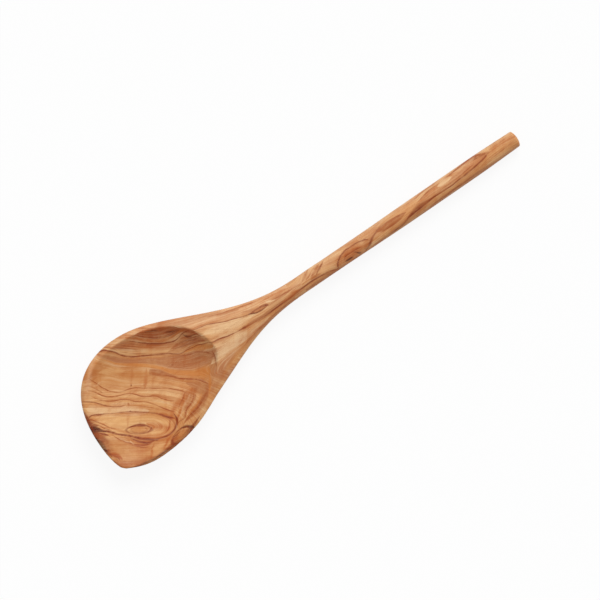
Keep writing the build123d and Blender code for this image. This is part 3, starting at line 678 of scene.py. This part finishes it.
    "longTop": (34.5, "fine", 0.85, ((416.4, 202.8), (423, 195.4, 0.6), (430.4, 188.6, 0.5),
        (443.3, 179, 0.5), (452, 172, 0.6), (461.8, 164.6, 0.7), (474.8, 156, 0.8), (482, 153.8, 0.8),
        (488.6, 151.4)), 0.9, -0.4),
    "longInner": (34.5, "fine", 0.6, ((428, 199.6), (440, 189.6, 0.5), (454, 179.6, 0.5), (466, 169.6, 0.6),
        (474, 163)), 0.9, 0.4),
    "longPatch": (34.5, "pale", 0.75, ((436.4, 186.6), (441, 183, 2.2), (446, 179.4, 2), (451, 175.6)), 0.7),
    "topThread": (34.5, "fine", 0.5, ((400, 208.6), (412, 200.4, 0.5), (424, 190.6, 0.5),
        (438, 180.4)), 0.9, 0.4),
    "endThread": (34.5, "fine", 0.5, ((490, 158.6), (498, 152.6, 0.5), (507, 146, 0.5),
        (514, 141)), 0.9, 0.4),
    "endThreadB": (34.5, "fine", 0.4, ((488, 150.6), (495, 145.4, 0.5), (503, 139.6, 0.3),
        (508, 136.4)), 0.9, 0.4),
    "lowThread": (34.5, "fine", 0.5, ((432, 204.6), (446, 195, 0.6), (460, 184.6, 0.5), (476, 173.4, 0.6),
        (490, 163.6)), 0.9, 0.4),
}

# Ringed knots: spot, half length, half width, tilt, colour inside, dark ring's strength
knots = {
    "eye": ((139, 429.6), 12.8, 4.2, 2, "honey", 0.75),
    "corner": ((181.6, 434.6), 11.6, 5.6, 42, "honey", 0.8),
    "cornerHeart": ((175.6, 438.6), 4.4, 2.6, 60, "brown", 0.4),
    "pinA": ((131.2, 385.6), 1.6, 1.1, 80, "line", 0),
    "pinB": ((130.4, 411.4), 1.5, 1, 20, "line", 0),
    "pinC": ((128.6, 404.6), 1.5, 2.2, 20, "brown", 0),
}

grain = {
    "lean": 0.12,  # how far the layers lean over with height
    "level": 10 * mm,  # the height where they are in place
    "drift": 0.8 * mm,  # slow wander of the layers
    "waver": 0.42 * mm,  # small wander
    "wander": 0.8,  # pixels that the strokes stray with the streaks
    "fray": 0.35,  # how rough the edges of the lines are
    "broadFray": 0.7,  # how rough the edges of the broad strokes are
    "tilts": (-45, 0, 34.5, 62, 90),  # the directions that strokes run in
    # strengths
    "streak": 0.6,  # fine streaks
    "warmth": 0.5,  # orange drifts
    "cloud": 0.4,  # mottling under the strokes
    "thread": 0.55,  # faint threads between the lines
    "cross": 0.3,  # faint ripple across the grain
    "mottle": 0.32,  # dark spots over the strokes
    "mottleLight": 0.256,  # light spots over the strokes
    "silk": 0.24,  # finest streaks
    "pore": 0.22,  # short dark flecks
    "ring": 0.6,  # a knot's inner ring, against its outer one
    "roughness": (0.4, 0.54),  # of the surface, in the palest streaks and in the darkest
    "relief": 0.06 * mm,  # depth of the finest grain
    "bump": 0.35,  # strength of that relief
    "index": 1.45,  # of refraction
    "gloss": 0.18,
}


def layerCurve(points, x, span, reach):
    # a line of the wood's figure, as the place across the spoon for each place along it
    placed = []
    for px, py in points:
        place = spot(px, py)
        placed.append(((place.x - span[0]) / (span[1] - span[0]), place.y / (2 * reach) + 0.5))
    along = (x - span[0]) / (span[1] - span[0])
    curve = Shade.node("ShaderNodeFloatCurve", {"points": sorted(placed)}, {"Value": along})
    return (curve - 0.5) * (2 * reach)


def turned(right, up, tilt):
    # the same place, along and across a line tilted up from the picture's level
    turn = math.radians(tilt)
    return right * math.cos(turn) + up * math.sin(turn), up * math.cos(turn) - right * math.sin(turn)


def inPicture(x, y, px, py):
    # pixels to the right of a spot of the photo, and up from it
    centre = spot(px, py)
    turn = math.radians(photo["bearing"])
    dx = (x - centre.x) / photo["pixel"]
    dy = (y - centre.y) / photo["pixel"]
    return dx * math.cos(turn) + dy * math.sin(turn), dy * math.cos(turn) - dx * math.sin(turn)


brush = {
    "widest": 12,  # pixels that a half width of 1 stands for in a stroke's curve
    "press": 1.25,  # widens every stroke
    "thinnest": 0.02,  # pixels added to every half width
    "spill": 0.3,  # how far a soft edge reaches past the half width, as a share of its softness
    "glowReach": 5,  # half widths
    "soft": 0.9,  # softness of a stroke's edges where it names none
    "thin": 2,  # a stroke that stays under this half width is a line, and wears away in places
    "values": (
        "Across", "Centre", "Half", "Span", "Base", "Fray", "Fade", "Soft", "Strength", "Glow", "Warm"),
    "colours": ("Under", "Ink"),
    "results": {"Colour": "NodeSocketColor", "Warmth": "NodeSocketFloat"},
}


def makeBrush():
    # the node group that lays one stroke over a colour
    across, centre, half, span, base, fray, fade, soft, strength, glow, warm, under, shade = makeGroup(
        "brush", brush["values"], brush["colours"], brush["results"])
    offset = across - (centre * span + base)
    width = half * (brush["widest"] * brush["press"]) + brush["thinnest"]
    radius = abs(offset) / width + fray
    mask = radius.ease(1 - soft, 1 + soft * brush["spill"], 1, 0) * strength * fade
    beside = offset * glow.sum("SIGN") / width + fray
    own = beside.ease(-1, 0) * beside.ease(0, brush["glowReach"], 1, 0) * abs(glow) * fade
    laid = {"Colour": mixed(mask, under, shade), "Warmth": own.most(warm)}
    Shade.node("NodeGroupOutput", {}, laid, out=None)


def stroke(view, under, warm, fray, fade, tilt, shade, strength, points, soft=brush["soft"], glow=0):
    # one stroke over a colour, and the warmth beside it added to the others'
    widths = [(*points[0], 0), *points[1:-1], (*points[-1], 0)]
    placed = sorted(turned(px, -py, tilt) + (half / brush["widest"],) for px, py, half in widths)
    start, base = placed[0][:2]
    span = placed[-1][0] - start
    middle = [((u - start) / span, (v - base) / span + 0.5) for u, v, half in placed]
    halves = [((u - start) / span, half) for u, v, half in placed]
    share = (view[0] - start) / span
    sockets = {
        "Across": view[1],
        "Centre": Shade.node("ShaderNodeFloatCurve", {"points": middle}, {"Value": share}),
        "Half": Shade.node("ShaderNodeFloatCurve", {"points": halves}, {"Value": share}),
        "Span": span, "Base": base - span / 2, "Fray": fray, "Fade": fade, "Soft": soft,
        "Strength": strength, "Glow": glow, "Warm": warm, "Under": under, "Ink": inks[shade],
    }
    laid = Shade.node("ShaderNodeGroup", {"node_tree": groups["brush"]}, sockets, out=None)
    return Shade(laid.outputs["Colour"]), Shade(laid.outputs["Warmth"])


def tinted(colour, *tints):
    # each tint lies where its noise passes from the first level to the second
    for shape, low, high, strength, shade in tints:
        colour = mixed(shape.ease(low, high) * grain[strength], colour, inks[shade])
    return colour


def makeWood():
    makeNoise()
    makeBrush()
    wood = bpy.data.materials.new("oliveWood")
    Shade.begin(wood)
    place = Shade.node("ShaderNodeTexCoord", out="Object")
    parts = Shade.node("ShaderNodeSeparateXYZ", {}, {"Vector": place}, out=None)
    x, y, z = (Shade(parts.outputs[number]) for number in range(3))

    # the layers lean with height and wander a little
    height = z - grain["level"]
    slow = noise("slow", x, y, z)
    small = noise("small", x, y, z)
    across = y + height * grain["lean"] + (slow - 0.5) * (2 * grain["drift"])
    across += (small - 0.5) * (2 * grain["waver"])
    along = x + (small - 0.5) * grain["waver"]

    # level of each point in the growth layers
    span = (cadBox[0][0] - layers["margin"], cadBox[1][0] + layers["margin"])
    curves = [layerCurve(points, along, span, layers["reach"]) for points in layers["curves"]]
    right, up = inPicture(along, across.least(curves[0]), *lobe["end"])
    above = up.most(0) / lobe["above"]
    below = up.least(0) / lobe["below"]
    beside = right.most(0) / lobe["right"]
    folded = (above * above + below * below + beside * beside) ** 0.5
    rise = None
    for under, over in zip(curves, curves[1:]):
        share = ((across - under) / (over - under)).within()
        rise = share if rise is None else rise + share
    lifted = rise.within()
    level = folded * (1 - lifted) + lifted * layers["first"] + rise

    # colours of the layers, then fine streaks and faint threads along them
    ripple = noise("ripple", x, level, z)
    stops = [(at / bands[-1][0], ink(*colour)) for at, *colour in bands]
    wavy = (level + (ripple - 0.5) * 0.5) / bands[-1][0]
    colour = Shade.node("ShaderNodeValToRGB", {"stops": stops}, {"Fac": wavy})
    streaks = noise("streaks", x, level, z)
    cloud = noise("cloud", x, y, z)
    warmth = noise("warmth", x, level, z)
    colour = tinted(
        colour,
        (warmth, 0.46, 0.68, "warmth", "rust"), (warmth, 0.5, 0.28, "warmth", "pale"),
        (streaks, 0.48, 0.72, "streak", "brown"), (streaks, 0.48, 0.28, "streak", "pale"),
        (cloud, 0.48, 0.72, "cloud", "honey"))
    threads = noise("threads", x, level, z)
    thread = threads.peak(0.5, 0.024).least(ripple.ease(0.48, 0.64)) * grain["thread"]
    colour = mixed(thread, colour, inks["fine"])

    # strokes of the figure, among them some painted shade, a painted sheen and a painted light, then its
    # knots
    # their places wander with the streaks: without that, Cycles works them all out at once and lacks room
    wander = (streaks - 0.5) * grain["wander"]
    px, up = (pixels + wander for pixels in inPicture(along, across, 0, 0))
    fray = (streaks - 0.5) * grain["fray"]
    broad = (cloud - 0.5) * grain["broadFray"] + (streaks - 0.5) * grain["broadFray"]
    worn = noise("worn", x, y, z)
    faded = {True: worn.ease(0.34, 0.58, 0.55, 1), False: streaks.ease(0.3, 0.55, 0.8, 1)}
    views = {tilt: turned(px, up, tilt) for tilt in grain["tilts"]}
    warm = 0
    for details in strokes.values():
        tilt, points = details[0], details[3]
        thin = max(half for px, py, half in points[1:-1]) < brush["thin"]
        colour, warm = stroke(views[tilt], colour, warm, fray if thin else broad, faded[thin], *details)
    colour = mixed(warm, colour, inks["glow"], "MULTIPLY")
    fade = faded[True]
    for centre, length, width, tilt, shade, ring in knots.values():
        u, v = turned(*inPicture(along, across, *centre), tilt)
        radius = ((u / length) ** 2 + (v / width) ** 2) ** 0.5 + fray
        colour = mixed(radius.ease(0.3, 1, 0.7, 0), colour, inks[shade])
        if ring:
            colour = mixed(radius.peak(1, 0.2) * ring * fade, colour, inks["line"])
            colour = mixed(radius.peak(0.62, 0.12) * ring * grain["ring"] * fade, colour, inks["fine"])

    # mottling and streaks over the strokes, the faint ripple across the grain, and pores as flecks along it
    mottle = noise("mottle", x, y, z)
    silk = noise("silk", x, level, z)
    colour = tinted(
        colour,
        (mottle, 0.5, 0.68, "mottle", "rust"), (mottle, 0.5, 0.32, "mottleLight", "tan"),
        (silk, 0.5, 0.72, "silk", "ember"), (silk, 0.5, 0.28, "silk", "pale"))
    cross = noise("cross", px, up, z)
    colour = mixed(cross.ease(0.5, 0.8) * grain["cross"], colour, mixed(1, colour, inks["tan"], "MULTIPLY"))
    flecks = noise("flecks", x, level, z)
    colour = tinted(colour, (flecks, 0.66, 0.78, "pore", "umber"))

    relief = noise("relief", x, y, z)
    sockets = {"Strength": grain["bump"], "Distance": grain["relief"], "Height": relief}
    bump = Shade.node("ShaderNodeBump", {}, sockets)
    rough = streaks.ease(0.3, 0.7, *grain["roughness"])
    sockets = {
        "Base Color": colour, "Roughness": rough, "Normal": bump,
        "IOR": grain["index"], "Specular IOR Level": grain["gloss"],
    }
    surface = Shade.node("ShaderNodeBsdfPrincipled", {}, sockets)
    Shade.node("ShaderNodeOutputMaterial", {}, {"Surface": surface}, out=None)
    print("wood made,", len(Shade.tree.nodes), "nodes")
    return wood


# The spoon: the solid, carved finely with its rim and edges eased by sandpaper

carving = {
    "merge": 0.002 * mm,  # points closer than this become one
    "voxel": 0.58 * mm,
    "easing": 2,  # passes
    "easeShare": 0.5,
}


def makeSpoon(wood):
    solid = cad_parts["spoon"]
    mesh = solid.data.copy()
    mesh.name = "carvedSpoon"
    mesh.materials.clear()
    spoon = put("carvedSpoon", mesh)
    shape = bmesh.new()
    shape.from_mesh(mesh)
    bmesh.ops.remove_doubles(shape, verts=shape.verts, dist=carving["merge"])
    shape.to_mesh(mesh)
    shape.free()
    remesh = spoon.modifiers.new("fine", "REMESH")
    remesh.mode = "VOXEL"
    remesh.voxel_size = carving["voxel"]
    remesh.use_smooth_shade = True
    fine = bpy.data.meshes.new_from_object(spoon.evaluated_get(bpy.context.evaluated_depsgraph_get()))
    spoon.modifiers.clear()
    spoon.data = fine
    shape = bmesh.new()
    shape.from_mesh(fine)
    for number in range(carving["easing"]):
        bmesh.ops.smooth_vert(shape, verts=shape.verts, factor=carving["easeShare"],
                              use_axis_x=True, use_axis_y=True, use_axis_z=True)
    for face in shape.faces:
        face.smooth = True
    shape.to_mesh(fine)
    shape.free()
    fine.materials.append(wood)
    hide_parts("spoon")
    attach(spoon, "root")
    print("spoon made,", len(fine.polygons), "faces")


# Table

tabletop = {
    "halfWidth": 4,  # metres
    "paper": 0.9,  # how much of the light it gives back
    "white": 0.9,  # share of plain white that the camera sees of it: the rest shows the spoon's shadow
}


def makeTable():
    shape = bmesh.new()
    bmesh.ops.create_grid(shape, x_segments=1, y_segments=1, size=tabletop["halfWidth"])
    mesh = bpy.data.meshes.new("table")
    shape.to_mesh(mesh)
    shape.free()
    table = put("table", mesh)
    paper = bpy.data.materials.new("paper")
    Shade.begin(paper)
    seen = Shade.node("ShaderNodeLightPath", out="Is Camera Ray")
    matt = Shade.node("ShaderNodeBsdfDiffuse", {}, {"Color": (tabletop["paper"],) * 3 + (1,)})
    glow = Shade.node("ShaderNodeEmission", {}, {"Color": (1, 1, 1, 1), "Strength": 1})
    surface = Shade.node("ShaderNodeMixShader", {}, {0: seen * tabletop["white"], 1: matt, 2: glow})
    Shade.node("ShaderNodeOutputMaterial", {}, {"Surface": surface}, out=None)
    mesh.materials.append(paper)
    print("table made")


makeCamera()
makeLight()
makeTable()
makeSpoon(makeWood())

bpy.context.scene.view_settings.view_transform = "Standard"
